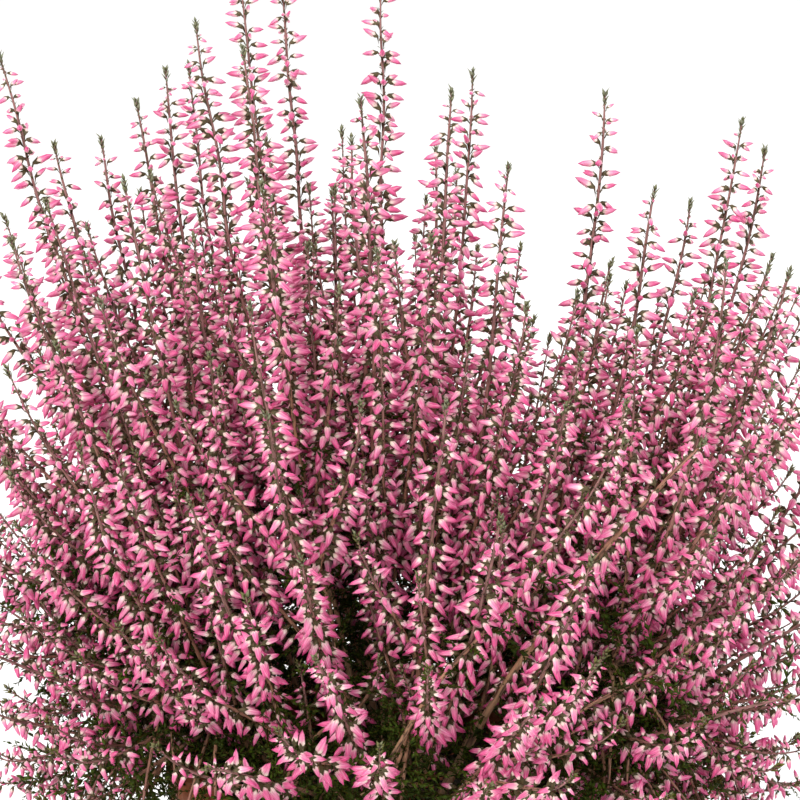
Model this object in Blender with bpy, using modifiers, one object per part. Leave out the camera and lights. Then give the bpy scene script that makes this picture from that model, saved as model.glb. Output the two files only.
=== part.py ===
"""A potted heather: a clay pot, its plug of potting soil, and the stems that rise from it.

Metres, +Z up, the origin at the middle of the pot's foot. The front of the plant is -Y.
Each flowering stem is one closed body: a bare woody foot, a leafy stretch, and the fuller
spindle that the flower buds take up. The leafy shoots are the short green ones at the rim.
"""

import math

import bmesh
import bpy
import numpy as np

MM = 0.001
GAP = 0.3 * MM  # left between pieces that touch

# Clay pot, millimetres
POT_HEIGHT = 115.0
POT_TOP_RADIUS = 66.0
POT_FOOT_RADIUS = 44.0
RIM_BAND_HEIGHT = 24.0
RIM_STEP = 3.0  # how far the rim band stands out from the wall below it
POT_WALL = 6.0
POT_FLOOR = 8.0
LIP_RADIUS = 2.5  # rounding of the lip, inside and outside
FOOT_ROUNDING = 3.0
DRAIN_HOLES = 4
DRAIN_HOLE_RADIUS = 5.0
DRAIN_RING_RADIUS = 24.0  # from the middle of the foot to a hole's middle
ROUND_STEPS = 48

# Potting soil, millimetres
SOIL_BELOW_LIP = 12.0
SOIL_EDGE_DIP = 2.0  # the plug sinks this much where it meets the pot
SOIL_FLAT_RADIUS = 46.0
SOIL_SHOULDER_DIP = 0.6
SOIL_SHOULDER = 4.0  # from the wall to where the dip begins to steepen
SOIL_SIDE_GAP = 0.4

# Stems, millimetres. A thickness profile is (share of the length, radius).
STEM_RINGS = 11
FLOWERING_PROFILE = (
    (0.0, 1.3), (0.12, 1.2), (0.27, 1.9), (0.38, 2.6), (0.5, 3.9), (0.85, 3.7), (0.94, 2.3), (1.0, 0.6),
)
LEAFY_PROFILE = ((0.0, 1.0), (0.2, 1.3), (0.4, 2.4), (0.8, 2.3), (1.0, 0.6))
FOOT_RISE = 2.0  # the foot stands straight up this far
CLEARANCE = 0.8  # space aimed for between two stems
ROOT_PULL = 0.12  # how far a stem's foot follows its tip, from the middle of its crown
CROWN_RADIUS = 2.0  # the stems of one crown stand in a spiral of this radius and more
CROWN_GROWTH = 0.35  # added to that radius from one stem to the next
CROWN_TURNS = 11  # stems before the spiral starts again
CURL = 0.45  # how much a stem leans more at its foot, and less at its tip, than on the whole

# The cuttings that were potted together: the middle of each one's crown, millimetres
CROWNS = {
    "left": (-24.0, 6.0),
    "centre": (0.0, 4.0),
    "right": (25.0, 4.0),
    "front": (0.0, -22.0),
    "back": (0.0, 27.0),
}

# Each stem's tip, millimetres: across, deep (the front is minus) and above the soil.
# A fourth number is the curl of a stem that doesn't have the usual one.
STEM_TIPS = {
    "left": (
        (-104, -10, 208), (-99, 45, 177), (-83, 20, 181), (-71, 10, 193), (-66, 36, 198), (-61, 62, 197),
        (-69, -40, 179), (-92, -20, 170, 0.2), (-98, -36, 163), (-54, -16, 161), (-126, 20, 118),
        (-124, -8, 84), (-114, -38, 56, 0.2), (-80, -60, 116, 0.7),
    ),
    "centre": (
        (-54, 0, 215), (-43, 10, 228), (-34, 40, 224), (-39, -34, 212), (-13, -10, 186), (-9, -26, 198),
        (-5, 16, 226), (10, 5, 181), (13, -20, 199), (20, 26, 199), (28, -30, 182), (-20, 52, 163),
    ),
    "right": (
        (55, 5, 196), (68, -6, 172), (81, 25, 163), (93, 14, 187, 0.7), (104, 42, 177, 0.75),
        (81, -50, 160, 0.9), (103, -16, 152), (124, 6, 108), (118, -32, 66, 0.2),
    ),
    "front": (
        (74, -72, 120, -0.35), (-37, -55, 151), (-33, -70, 126), (-51, -80, 108), (-20, -104, 76, 0.1),
        (-46, -106, 50, -0.1), (11, -63, 128), (41, -55, 125), (24, -84, 104), (45, -95, 97),
        (33, -108, 66, 0.1),
    ),
    "back": (
        (36, 62, 144), (16, 60, 167), (-39, 62, 176), (64, 70, 138), (11, 88, 129), (-55, 86, 117),
        (51, 100, 88), (-32, 104, 87), (-88, 75, 125), (89, 80, 124),
    ),
}

# The leafy shoots' tips, low over the rim, and how they arch: straight up first, then out
LEAFY_TIPS = ((-106, 10, 34), (100, -58, 48))
LEAFY_CURL = -0.4
LEAFY_ROOT_REACH = 30.0

# Spreading the stems until none touches another
SPREAD_TURNS = 1500
SPREAD_SAMPLES = 54
CROWDED_FOOT = 1.25  # over 1, the samples stand closer at the foot, where the stems are thin
PAIRS_RENEWED = 20  # turns between two looks at every pair
PAIRS_WITHIN = 5.0  # pairs this near, millimetres, are watched in between
EASE = (0.45, 1.0, 0.3)  # how freely a stem gives way across, deep and up
SIDEWAYS_START = 0.3  # a pair that meets squarely across slides past each other in depth
SQUARELY = 0.05
GIVE = 0.55  # share of the lack that each stem of a pair gives way in one turn
MOST_MOVE = 2.0  # millimetres in one turn
RIM_MARGIN = 4.0
PAIRS_AT_ONCE = 200
ROOTS_WITHIN = 44.0  # millimetres from the middle of the soil
NEAR_ENOUGH = 0.2  # the spreading ends when no pair lacks more of the clearance than this
FIRST_RISE = 16.0  # least height of a stem's second control above the soil, millimetres


def material(name, colour, roughness, metallic=0.0):
    """A plain finish: linear colour, roughness and metallic value."""
    made = bpy.data.materials.new(name)
    made.use_nodes = True
    shader = made.node_tree.nodes["Principled BSDF"]
    shader.inputs["Base Color"].default_value = (*colour, 1.0)
    shader.inputs["Roughness"].default_value = roughness
    shader.inputs["Metallic"].default_value = metallic
    return made


def turned(name, profile, collection):
    """Turns a profile, given as (radius, height) in millimetres, once round the Z axis."""
    mesh = bpy.data.meshes.new(name)
    points = [(r * MM, 0.0, z * MM) for r, z in profile]
    mesh.from_pydata(points, [(i, i + 1) for i in range(len(points) - 1)], [])
    piece = bpy.data.objects.new(name, mesh)
    collection.objects.link(piece)
    screw = piece.modifiers.new("turn", "SCREW")
    screw.steps = ROUND_STEPS
    screw.render_steps = ROUND_STEPS
    screw.use_merge_vertices = True
    screw.merge_threshold = 0.00001
    screw.use_smooth_shade = True
    return piece


def arc(centre, radius, start_deg, end_deg, steps):
    """Points along an arc in a profile, both ends included."""
    turns = [math.radians(start_deg + (end_deg - start_deg) * i / steps) for i in range(steps + 1)]
    return [(centre[0] + radius * math.cos(a), centre[1] + radius * math.sin(a)) for a in turns]


def wall_radius(height):
    """The pot's outer radius at a height, on the tapering wall below the rim band."""
    taper = (POT_TOP_RADIUS - RIM_STEP - POT_FOOT_RADIUS) / POT_HEIGHT
    return POT_FOOT_RADIUS + taper * height


def inner_radius(height):
    """The pot's inner radius at a height."""
    return wall_radius(height) - POT_WALL


def make_pot(collection, cutters):
    """A tapering pot with a rim band, a rounded lip and drain holes in its flat foot."""
    band_foot = POT_HEIGHT - RIM_BAND_HEIGHT
    lip_inside = inner_radius(POT_HEIGHT)
    profile = [(0.0, POT_FLOOR), (inner_radius(POT_FLOOR), POT_FLOOR)]
    profile += arc((lip_inside + LIP_RADIUS, POT_HEIGHT - LIP_RADIUS), LIP_RADIUS, 180, 90, 3)
    profile += arc((POT_TOP_RADIUS - LIP_RADIUS, POT_HEIGHT - LIP_RADIUS), LIP_RADIUS, 90, 0, 3)
    profile += [(POT_TOP_RADIUS - 1.0, band_foot + 1.5), (POT_TOP_RADIUS - 2.2, band_foot)]
    profile += [(wall_radius(band_foot), band_foot - 1.0)]
    profile += arc((POT_FOOT_RADIUS - FOOT_ROUNDING, FOOT_ROUNDING), FOOT_ROUNDING, 0, -90, 3)
    profile += [(0.0, 0.0)]
    pot = turned("clay_pot", profile, collection)
    for k in range(DRAIN_HOLES):
        turn = math.radians(360.0 * (k + 0.5) / DRAIN_HOLES)
        place = (DRAIN_RING_RADIUS * MM * math.cos(turn), DRAIN_RING_RADIUS * MM * math.sin(turn), 0.0)
        bpy.ops.mesh.primitive_cylinder_add(
            vertices=16, radius=DRAIN_HOLE_RADIUS * MM, depth=4 * POT_FLOOR * MM, location=place
        )
        cutter = bpy.context.active_object
        cutter.name = f"drain_cutter_{k + 1}"
        cutter.hide_render = True
        cutter.display_type = "WIRE"
        for holder in list(cutter.users_collection):
            holder.objects.unlink(cutter)
        cutters.objects.link(cutter)
        cut = pot.modifiers.new(cutter.name, "BOOLEAN")
        cut.operation = "DIFFERENCE"
        cut.solver = "EXACT"
        cut.object = cutter
    return pot


def soil_top():
    """The height of the soil's level middle, millimetres."""
    return POT_HEIGHT - SOIL_BELOW_LIP


def make_soil(collection):
    """The plug of soil that fills the pot, a little lower where it meets the wall."""
    top = soil_top()
    bottom = POT_FLOOR + GAP / MM
    edge = top - SOIL_EDGE_DIP
    rim = inner_radius(edge) - SOIL_SIDE_GAP
    profile = [
        (0.0, top),
        (SOIL_FLAT_RADIUS, top),
        (rim - SOIL_SHOULDER, top - SOIL_SHOULDER_DIP),
        (rim, edge),
        (inner_radius(bottom) - SOIL_SIDE_GAP, bottom),
        (0.0, bottom),
    ]
    return turned("potting_soil", profile, collection)


def plan_stems():
    """Every stem as (name, crown middle, tip, curl, thickness profile), in millimetres."""
    plans = []
    for crown, tips in STEM_TIPS.items():
        for number, tip in enumerate(tips):
            name = f"{crown}_flowering_stem_{number + 1:02d}"
            curl = tip[3] if len(tip) > 3 else CURL
            plans.append((name, CROWNS[crown], tip[:3], curl, FLOWERING_PROFILE))
    for number, tip in enumerate(LEAFY_TIPS):
        share = LEAFY_ROOT_REACH / math.hypot(tip[0], tip[1])
        crown = (tip[0] * share, tip[1] * share)
        plans.append((f"leafy_shoot_{number + 1:02d}", crown, tip, LEAFY_CURL, LEAFY_PROFILE))
    return plans


def controls_of(crown, tip, curl, number):
    """A stem's four curve controls: it leans most at its foot and rises again at its tip."""
    top = soil_top() + GAP / MM
    turn = number * math.pi * (3.0 - math.sqrt(5.0))
    spread = CROWN_RADIUS + CROWN_GROWTH * (number % CROWN_TURNS)
    root = np.array([
        crown[0] + ROOT_PULL * (tip[0] - crown[0]) + spread * math.cos(turn),
        crown[1] + ROOT_PULL * (tip[1] - crown[1]) + spread * math.sin(turn),
        top,
    ])
    end = np.array([tip[0], tip[1], top + tip[2]], float)
    chord = end - root
    reach = np.linalg.norm(chord) / 3.0
    foot_way = chord * (1.0 + curl, 1.0 + curl, 1.0)
    tip_way = chord * (1.0 - curl, 1.0 - curl, 1.0)
    first = root + reach * foot_way / np.linalg.norm(foot_way)
    second = end - reach * tip_way / np.linalg.norm(tip_way)
    return np.array([root, first, second, end])


def weights(shares):
    """How much each of the four controls counts at each share of the curve."""
    t = np.asarray(shares, float)
    return np.stack([(1 - t) ** 3, 3 * t * (1 - t) ** 2, 3 * t * t * (1 - t), t ** 3], 1)


def radii(profile, shares):
    """The radius at each share of the length, millimetres."""
    return np.interp(shares, [p[0] for p in profile], [p[1] for p in profile])


def nearest_places(points, thick, first, second):
    """For each pair of stems, how far short of clear it is at its tightest place, and that place."""
    apart = points[first][:, :, None, :] - points[second][:, None, :, :]
    distance = np.sqrt((apart * apart).sum(3))
    short = thick[first][:, :, None] + thick[second][:, None, :] + CLEARANCE - distance
    flat = short.reshape(len(first), -1)
    pick = flat.argmax(1)
    rows = np.arange(len(first))
    mine, yours = np.divmod(pick, points.shape[1])
    return flat[rows, pick], mine, yours, apart[rows, mine, yours]


def lift_over_rim(points, thick, curve, pushes):
    """Lifts the stems that lean out of the pot clear of its rim."""
    reach = np.linalg.norm(points[:, :, :2], axis=2)
    over_rim = (reach > inner_radius(POT_HEIGHT) - RIM_MARGIN) & (reach < POT_TOP_RADIUS + RIM_MARGIN)
    lack = np.where(over_rim, POT_HEIGHT + thick + CLEARANCE - points[:, :, 2], 0.0)
    for stem in np.flatnonzero(lack.max(1) > 0.0):
        place = lack[stem].argmax()
        share = curve[place]
        pushes[stem, :, 2] += lack[stem, place] * share / (share @ share)
    return lack.max()


def spread_stems(plans):
    """Moves the stems apart until none touches, mostly in depth, where the eye reads it least."""
    controls = np.array([controls_of(c, tip, curl, n) for n, (_, c, tip, curl, _) in enumerate(plans)])
    shares = np.linspace(0.0, 1.0, SPREAD_SAMPLES) ** CROWDED_FOOT
    curve = weights(shares)
    thick = np.array([radii(plan[4], shares) for plan in plans])
    every_first, every_second = np.triu_indices(len(plans), 1)
    for turn in range(SPREAD_TURNS):
        points = np.einsum("sk,nkc->nsc", curve, controls)
        if turn % PAIRS_RENEWED == 0:
            blocks = [slice(k, k + PAIRS_AT_ONCE) for k in range(0, len(every_first), PAIRS_AT_ONCE)]
            short = np.concatenate(
                [nearest_places(points, thick, every_first[b], every_second[b])[0] for b in blocks]
            )
            near = short > -PAIRS_WITHIN
            first, second = every_first[near], every_second[near]
        lack, mine, yours, way = nearest_places(points, thick, first, second)
        pushes = np.zeros_like(controls)
        rim_lack = lift_over_rim(points, thick, curve, pushes)
        if turn % PAIRS_RENEWED == 0 and max(short.max(), rim_lack) <= NEAR_ENOUGH:
            break
        tight = lack > 0.0
        way = way[tight] * EASE
        way[:, 1] += np.where(np.abs(way[:, 1]) < SQUARELY, SIDEWAYS_START, 0.0)
        way /= np.maximum(np.linalg.norm(way, axis=1), 1e-6)[:, None]
        step = GIVE * lack[tight][:, None] * way
        for stems, places, sign in ((first[tight], mine[tight], 1.0), (second[tight], yours[tight], -1.0)):
            share = curve[places] / (curve[places] ** 2).sum(1)[:, None]
            np.add.at(pushes, stems, sign * share[:, :, None] * step[:, None, :])
        pushes[:, 0, 2] = 0.0
        controls += np.clip(pushes, -MOST_MOVE, MOST_MOVE)
        reach = np.linalg.norm(controls[:, 0, :2], axis=1)
        controls[:, 0, :2] *= np.minimum(1.0, ROOTS_WITHIN / np.maximum(reach, 1e-6))[:, None]
        controls[:, 1, 2] = np.maximum(controls[:, 1, 2], soil_top() + FIRST_RISE)
    print(f"stems spread in {turn} turns to within {short.max():.2f} mm of the clearance")
    return controls


def make_stem(name, controls, profile, finish, collection):
    """A stem as a tapering tube with closed ends, along its curve."""
    shares = np.linspace(0.0, 1.0, STEM_RINGS)
    points = weights(shares) @ controls * MM
    # The foot stands straight up from the soil, so that its end lies flat on it.
    points = np.vstack([points[0], points[0] + (0.0, 0.0, FOOT_RISE * MM), points[1:]])
    sizes = np.concatenate([[0.0, 0.0], shares[1:]])
    line = bpy.data.curves.new(name, "CURVE")
    line.dimensions = "3D"
    line.resolution_u = 1
    line.render_resolution_u = 0
    line.bevel_depth = MM
    line.bevel_resolution = 1
    line.use_fill_caps = True
    spline = line.splines.new("POLY")
    spline.points.add(len(points) - 1)
    for point, place, radius in zip(spline.points, points, radii(profile, sizes)):
        point.co = (*place, 1.0)
        point.radius = radius
    tube = bpy.data.objects.new(name + "_line", line)
    collection.objects.link(tube)
    mesh = bpy.data.meshes.new_from_object(tube.evaluated_get(bpy.context.evaluated_depsgraph_get()))
    skin = bmesh.new()
    skin.from_mesh(mesh)
    bmesh.ops.remove_doubles(skin, verts=skin.verts, dist=0.00001)
    bmesh.ops.recalc_face_normals(skin, faces=skin.faces)
    skin.to_mesh(mesh)
    skin.free()
    mesh.name = name
    piece = bpy.data.objects.new(name, mesh)
    piece.matrix_world = tube.matrix_world
    collection.objects.link(piece)
    bpy.data.objects.remove(tube)
    mesh.materials.clear()
    mesh.materials.append(finish)
    mesh.shade_smooth()
    return piece


def main():
    for old in list(bpy.data.objects):
        bpy.data.objects.remove(old)
    model = bpy.data.collections.new("potted_heather")
    cutters = bpy.data.collections.new("cutters")
    bpy.context.scene.collection.children.link(model)
    bpy.context.scene.collection.children.link(cutters)

    clay = material("terracotta", (0.55, 0.21, 0.10), 0.85)
    peat = material("potting_soil", (0.045, 0.026, 0.016), 0.95)
    buds = material("flower_buds", (0.72, 0.12, 0.30), 0.55)
    leaves = material("heather_leaves", (0.07, 0.12, 0.03), 0.6)

    make_pot(model, cutters).data.materials.append(clay)
    make_soil(model).data.materials.append(peat)
    plans = plan_stems()
    for plan, controls in zip(plans, spread_stems(plans)):
        finish = leaves if plan[0].startswith("leafy") else buds
        make_stem(plan[0], controls, plan[4], finish, model)
    print(f"{len(model.objects)} pieces")


main()
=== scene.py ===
# %% [markdown]
# # A potted heather, seen up close
# A bud-blooming heather: dozens of woody stems, each clothed in tiny scale leaves and, over its
# upper half, in pointed pink buds that never open. The plant stands in a plain clay pot.
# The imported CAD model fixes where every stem, the soil and the pot are. This script loads it
# as the frame and grows the visible plant round it.

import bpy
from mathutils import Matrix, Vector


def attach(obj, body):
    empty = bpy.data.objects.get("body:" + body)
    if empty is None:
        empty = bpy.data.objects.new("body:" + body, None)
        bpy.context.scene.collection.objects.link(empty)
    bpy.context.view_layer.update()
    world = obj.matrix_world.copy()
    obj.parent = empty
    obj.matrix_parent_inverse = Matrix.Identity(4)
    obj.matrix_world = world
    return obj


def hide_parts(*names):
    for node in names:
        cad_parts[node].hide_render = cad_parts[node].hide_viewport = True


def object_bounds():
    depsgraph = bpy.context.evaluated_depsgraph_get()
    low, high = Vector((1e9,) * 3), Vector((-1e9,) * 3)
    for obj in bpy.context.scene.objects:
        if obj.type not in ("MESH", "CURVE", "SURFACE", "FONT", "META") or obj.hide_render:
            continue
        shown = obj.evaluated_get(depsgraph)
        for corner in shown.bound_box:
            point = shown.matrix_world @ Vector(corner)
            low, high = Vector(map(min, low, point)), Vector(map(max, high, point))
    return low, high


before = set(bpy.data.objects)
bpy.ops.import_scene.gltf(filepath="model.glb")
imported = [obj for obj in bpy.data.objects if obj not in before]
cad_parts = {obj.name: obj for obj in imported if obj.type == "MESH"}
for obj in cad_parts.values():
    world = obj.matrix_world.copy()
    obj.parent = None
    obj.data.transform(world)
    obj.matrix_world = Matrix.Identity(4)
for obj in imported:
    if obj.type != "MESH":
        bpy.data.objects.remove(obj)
cad_box = [list(corner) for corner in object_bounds()]

import math
from functools import partial

import bmesh
import bpy
import numpy as np
from mathutils import Matrix, Vector
from numpy.polynomial import polynomial

MM = 0.001
WHOLE_TURN = 2 * math.pi
scene = bpy.context.scene
print(len(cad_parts), "CAD nodes, box", [[round(c / MM) for c in corner] for corner in cad_box])

# %% [markdown]
# ## Where the picture is taken from
# The photograph is a close view, a little from above, with a long lens. The camera aims at a
# point on the plant's axis, so that the soil is at the lower edge of the picture.

# %% Camera
AIM = Vector((0.0, 0.0, 0.216))
CAMERA_RISE = math.radians(14.0)
CAMERA_DISTANCE = 0.648
LENS_MM = 106.5
SENSOR_MM = 36.0
NEAREST, FARTHEST = 0.01, 60.0  # metres from the lens that the picture takes in


def placed(name, data):
    """An object for a mesh, a lamp or a camera, put into the scene."""
    made = bpy.data.objects.new(name, data)
    scene.collection.objects.link(made)
    return made


eye = bpy.data.cameras.new("camera")
eye.lens, eye.sensor_width = LENS_MM, SENSOR_MM
eye.clip_start, eye.clip_end = NEAREST, FARTHEST
camera = placed("camera", eye)
sight = Vector((0.0, math.cos(CAMERA_RISE), -math.sin(CAMERA_RISE)))
camera.location = AIM - sight * CAMERA_DISTANCE
camera.rotation_euler = sight.to_track_quat("-Z", "Y").to_euler()
scene.camera = camera
print("camera at", [round(x, 3) for x in camera.location])


def as_seen(points):
    """Where points appear across and up in the picture, scaled to millimetres on the plant's axis."""
    offset = np.asarray(points, float) - np.array(camera.location)
    depth = offset @ np.array(sight)
    up = np.array((0.0, math.sin(CAMERA_RISE), math.cos(CAMERA_RISE)))
    scale = CAMERA_DISTANCE / depth / MM
    return np.stack([offset[..., 0] * scale, offset @ up * scale], -1)


# %% [markdown]
# ## Colours and nodes
# Finishes are given as sRGB hex colours, as a paint chart or a picture editor gives them.
# The renderer works in linear light, so one function turns them. Another one adds a node,
# sets it and links it, for materials and Geometry Nodes alike.

# %% The helpers for nodes
FAMILIES = {"SHADER": ["ShaderNode"], "GEOMETRY": ["GeometryNode", "FunctionNode", "ShaderNode", "Node"]}


def linear(chart_colour):
    """An sRGB hex colour as linear red, green, blue and a full alpha."""
    parts = [int(chart_colour[k:k + 2], 16) / 255 for k in (1, 3, 5)]
    return (*[c / 12.92 if c <= 0.04045 else ((c + 0.055) / 1.055) ** 2.4 for c in parts], 1.0)


def feed(tree, socket, value):
    """Gives an input a value, or links a socket to it, or the first output of a node."""
    if isinstance(value, bpy.types.Node):
        value = next(s for s in value.outputs if s.enabled)
    if isinstance(value, bpy.types.NodeSocket):
        tree.links.new(value, socket)
    else:
        socket.default_value = value


def add(tree, kind, *feeds, stops=(), **named):
    """Adds a node. Kind is its type without its family, and then its operation if it has one. Feeds go
    to its shown inputs in order. A name in small letters is a setting, and any other is an input, with
    _ for a space. Stops are a colour ramp's positions and hex colours."""
    kind, _, operation = kind.partition(" ")
    node = tree.nodes.new(next(f + kind for f in FAMILIES[tree.type] if hasattr(bpy.types, f + kind)))
    if operation:
        node.operation = operation
    for name in filter(str.islower, named):
        setattr(node, name, named[name])
    shown = [s for s in node.inputs if s.enabled]
    for socket, value in zip(shown, feeds):
        feed(tree, socket, value)
    for name in named:
        if not name.islower():
            feed(tree, next(s for s in shown if s.name == name.replace("_", " ")), named[name])
    if stops:
        points = node.color_ramp.elements
        while len(points) < len(stops):
            points.new(1.0)
        for point, (position, colour) in zip(points, stops):
            point.position, point.color = position, linear(colour)
    return node


def new_finish(name):
    """A material, and a short way to add to its tree."""
    made = bpy.data.materials.new(name)
    made.use_nodes = True
    return made, partial(add, made.node_tree)


def finished(made, **inputs):
    """The material, with its shader's inputs set or linked."""
    for name, value in inputs.items():
        feed(made.node_tree, made.node_tree.nodes["Principled BSDF"].inputs[name.replace("_", " ")], value)
    return made


# %% [markdown]
# ## Light and floor
# The photograph is high key: a bare white surround and broad, soft light from all sides, a
# little stronger from the upper left. A white sky does most of it, and two soft boxes give
# the buds their shape. The floor is plain pale paper that runs far back.

# %% Studio
SKY_LIGHT = 1.05
FLOOR_SIDE = 30.0
# For each soft box: its place, its side, its power in watts and its colour
SOFT_BOXES = {"key_soft_box": ((-0.9, -1.3, 1.7), 0.9, 26.0, "#fffaf4"),
              "rim_soft_box": ((1.2, 0.9, 1.5), 0.8, 12.0, "#f6f8ff")}

scene.view_settings.view_transform = "Standard"
sky = bpy.data.worlds.new("soft white surround")
sky.use_nodes = True
surround = sky.node_tree.nodes["Background"].inputs
surround["Color"].default_value, surround["Strength"].default_value = linear("#ffffff"), SKY_LIGHT
scene.world = sky

for name, (place, side, watts, colour) in SOFT_BOXES.items():
    lamp = bpy.data.lights.new(name, "AREA")
    lamp.size, lamp.energy, lamp.color = side, watts, linear(colour)[:3]
    box = placed(name, lamp)
    box.location = place
    box.rotation_euler = (AIM - Vector(place)).to_track_quat("-Z", "Y").to_euler()


def studio_paper():
    """Matt background paper: an even white, hardly mottled by its fibres."""
    made, node = new_finish("pale_studio_paper")
    fibres = node("TexNoise", Scale=900.0, Detail=3.0)
    tint = node("Mix", fibres, linear("#f8f8f7"), linear("#fdfdfc"), data_type="RGBA")
    return finished(made, Base_Color=tint, Roughness=0.9)


half = FLOOR_SIDE / 2
floor_mesh = bpy.data.meshes.new("floor")
floor_mesh.from_pydata([(-half, -half, 0), (half, -half, 0), (half, half, 0), (-half, half, 0)], [], [(0, 1, 2, 3)])
floor_mesh.materials.append(studio_paper())
floor = placed("floor", floor_mesh)
print(len(SOFT_BOXES), "soft boxes, a sky and a floor", FLOOR_SIDE, "m wide")

# %% [markdown]
# ## The lines of the stems
# A stem's woody line is read back from its CAD solid: the solid is cut by planes square to
# the way from foot to tip, and the middles of the cuts are joined by a smooth curve. Real
# stems aren't perfectly smooth, so each one also strays a little from side to side.

# %% Main stems, read from the frame
CUTS = 27
FOOT_SLICE, TIP_SLICE = 0.1 * MM, 1.5 * MM  # the points that count as a stem's foot and as its tip
CURVE_DEGREE = 4
LINE_STEP = 2.4 * MM
STRAY = 0.75 * MM
STRAY_WAVES = (110.0 * MM, 45.0 * MM)
ROOTED = 3.0 * MM  # how far a stem goes on into the soil
LONG_STEM = "front_flowering_stem_01"  # the old tan stem that crosses the front of the plant

random = np.random.default_rng(20)


def unit(way):
    """The direction of a vector, one long."""
    return way / np.linalg.norm(way)


def run_of(points):
    """How far along a line each of its points is."""
    return np.concatenate([[0.0], np.cumsum(np.linalg.norm(np.diff(points, axis=0), axis=1))])


def evenly(points):
    """The same line with its points LINE_STEP apart."""
    run = run_of(points)
    wanted = np.linspace(0.0, run[-1], max(4, int(round(run[-1] / LINE_STEP)) + 1))
    return np.stack([np.interp(wanted, run, points[:, k]) for k in range(3)], 1)


def middle_line(node):
    """Points along the middle of a CAD stem, from its foot to its tip, LINE_STEP apart."""
    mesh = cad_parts[node].data
    places = np.array([v.co for v in mesh.vertices], float)
    pairs = np.array([e.vertices[:] for e in mesh.edges])
    foot = places[places[:, 2] < places[:, 2].min() + FOOT_SLICE].mean(0)
    away = np.linalg.norm(places - foot, axis=1)
    tip = places[away > away.max() - TIP_SLICE].mean(0)
    way = tip - foot
    share = (places - foot) @ way / (way @ way)
    start, end = share[pairs[:, 0]], share[pairs[:, 1]]
    levels, middles = np.linspace(0.02, 0.98, CUTS), [foot]
    for level in levels:
        cut = (start - level) * (end - level) < 0.0
        along = ((level - start[cut]) / (end[cut] - start[cut]))[:, None]
        middles.append((places[pairs[cut, 0]] * (1 - along) + places[pairs[cut, 1]] * along).mean(0))
    fit = polynomial.polyfit([0.0, *levels, 1.0], np.array([*middles, tip]), CURVE_DEGREE)
    return evenly(polynomial.polyval(np.linspace(0.0, 1.0, 120), fit).T)


def strayed(points, amount):
    """The line with slow sideways waves, none at its foot."""
    share = np.linspace(0.0, 1.0, len(points))
    length = len(points) * LINE_STEP
    moved = points.copy()
    for wave in STRAY_WAVES:
        turn = share * length / wave * WHOLE_TURN + random.uniform(0, WHOLE_TURN)
        moved += np.outer(np.sin(turn) * np.minimum(1.0, share * 5) * amount, unit(random.normal(size=3)))
        amount *= 0.6
    return moved


mains = []
for node in sorted(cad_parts):
    if "stem" in node or "shoot" in node:
        line = strayed(middle_line(node), STRAY)
        root = line[0] + unit(line[0] - line[1]) * ROOTED
        crown = node[:-len("_01")].removesuffix("_flowering_stem")
        mains.append({"node": node, "crown": crown, "points": np.vstack([root, line]), "rank": 0})
print(len(mains), "main stems,", round(sum(len(m["points"]) for m in mains) * LINE_STEP, 2), "m in all")

# %% [markdown]
# ## Side shoots
# Every stem forks a few times below its flowers, and the shoots rise beside it and flower
# too. They fill the space evenly, because a shoot grows where there is light. So each new
# shoot is the best of many tries: the one whose upper half is farthest from all that is there.

# %% How a shoot finds its line and its room
LANE = 4.5  # kept clear in front of the long stem, millimetres as the camera sees them
ARCH = 0.35  # of a shoot's reach, how far it holds its first and its last direction
END_WAY = (0.55, 0.25, 0.45)  # how much its end follows its reach, its parent and the upright

long_stem = next(m["points"] for m in mains if m["node"] == LONG_STEM)
stems = list(mains)
upper_halves = [m["points"][len(m["points"]) // 2::3] for m in mains]


def shoot_line(parent, fork, end, bow):
    """A shoot's line from its fork on the parent to its end, where it grows as the parent does."""
    points = parent["points"]
    index = int(fork * (len(points) - 1))
    start = points[index]
    way = unit(points[min(index + 3, len(points) - 1)] - points[index - 3])
    reach = np.linalg.norm(end - start)
    out = (end - start) / reach
    leave = unit(way * (1 - bow) + out * (1 + bow))
    reaching, following, rising = END_WAY
    rise = unit(out * reaching + way * following + np.array((0.0, 0.0, rising)))
    t = np.linspace(0.0, 1.0, 60)[:, None]
    controls = (start, start + leave * reach * ARCH, end - rise * reach * ARCH, end)
    return evenly(sum(c * k * t ** n * (1 - t) ** (3 - n) for n, (c, k) in enumerate(zip(controls, (1, 3, 3, 1)))))


def hides_long_stem(line):
    """Whether a line would pass in front of the long tan stem."""
    apart = np.linalg.norm(as_seen(line)[:, None] - as_seen(long_stem)[None], axis=2)
    return bool(((apart < LANE) & (line[:, None, 1] < long_stem[None, :, 1])).any())


def grow(tries, least_room, stray, rank, crown=None):
    """Adds to the stems the roomiest of the tries that leaves the long stem in sight. Each try is a line
    and the share of its room that counts."""
    taken = np.vstack(upper_halves)
    best, best_room = None, least_room
    for line, counts in tries:
        top = line[len(line) // 2:]
        room = np.sqrt(((taken[:, None, :] - top[None, ::4, :]) ** 2).sum(2)).min(0).mean() * counts
        if room > best_room and not hides_long_stem(line):
            best, best_room = line, room
    if best is not None:
        crown = crown or ("left_skirt_shoots" if best[-1, 0] < 0 else "right_skirt_shoots")
        stems.append({"crown": crown, "points": strayed(best, stray), "rank": rank})
        upper_halves.append(best[len(best) // 2::3])


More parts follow.
